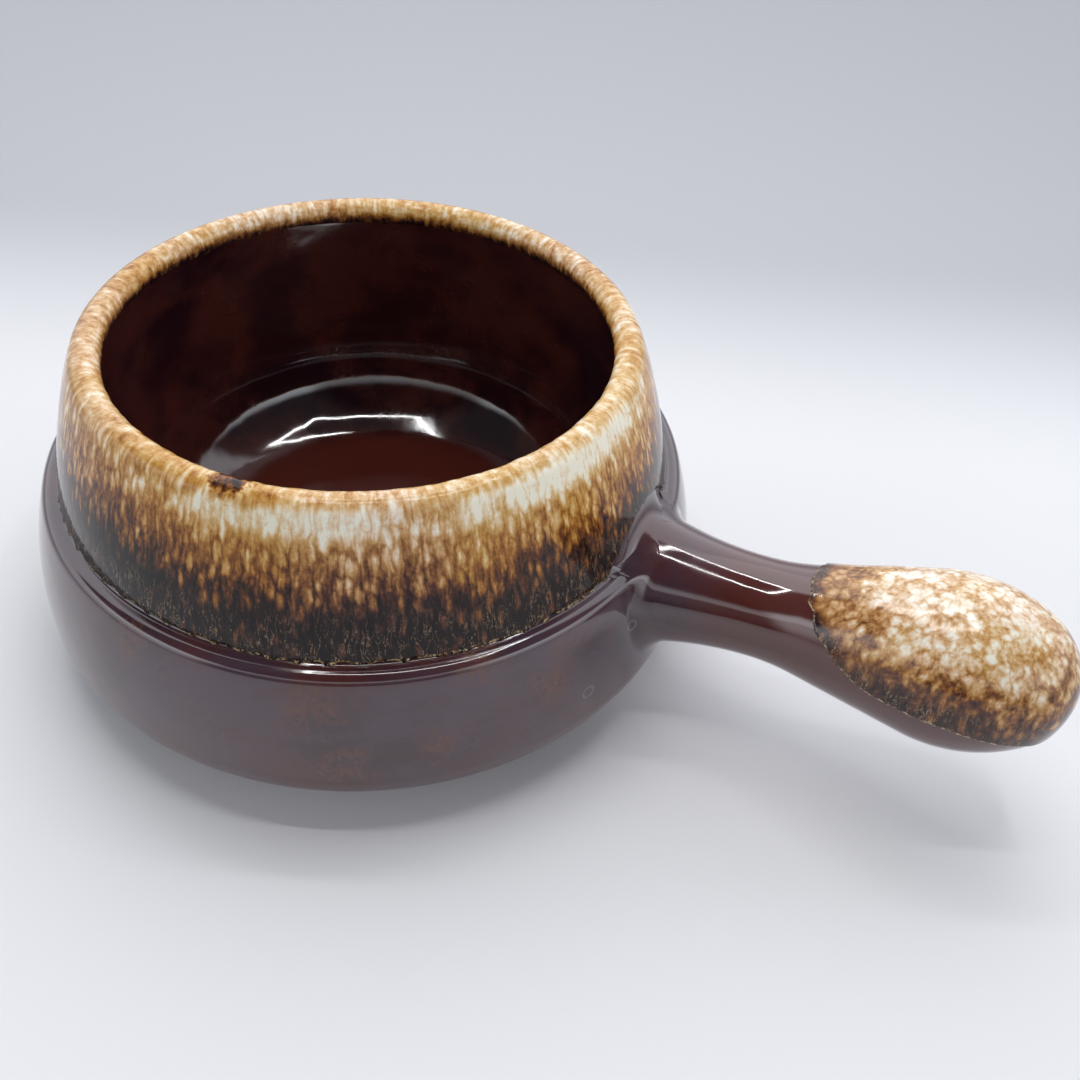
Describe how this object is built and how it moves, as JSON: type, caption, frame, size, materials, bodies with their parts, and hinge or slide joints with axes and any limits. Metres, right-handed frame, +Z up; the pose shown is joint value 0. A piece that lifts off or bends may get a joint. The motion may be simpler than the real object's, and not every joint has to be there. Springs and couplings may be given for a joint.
{
  "type": "stick-handled soup bowl",
  "caption": "Thick-walled stoneware soup bowl with a rolled rim, a flared round stick handle that ends in a knob, and pale drip glaze over dark brown glaze.",
  "frame": {"origin": "middle of the foot's resting face on the table", "axes": "+X along the handle as seen from above, +Z up, +Y to the left of the handle seen from the bowl"},
  "size_m": [0.2065, 0.134, 0.0655],
  "materials": {
    "clay": "bare fired stoneware, matt and lightly gritty",
    "slip": "fired clay slip, matt",
    "brown_glaze": "dark red-brown glossy glaze",
    "pooled_glaze": "pooled dark brown glossy glaze",
    "drip_glaze": "mottled cream and honey glossy drip glaze"
  },
  "bodies": {
    "root": {"bowl_body": "clay", "stick_handle": "clay", "luting_slip": "slip", "bowl_glaze": "brown_glaze", "handle_glaze": "brown_glaze", "root_glaze": "pooled_glaze", "underside_glaze": "brown_glaze", "rim_drip_glaze": "drip_glaze", "handle_drip_glaze": "drip_glaze"}
  },
  "joints": []
}
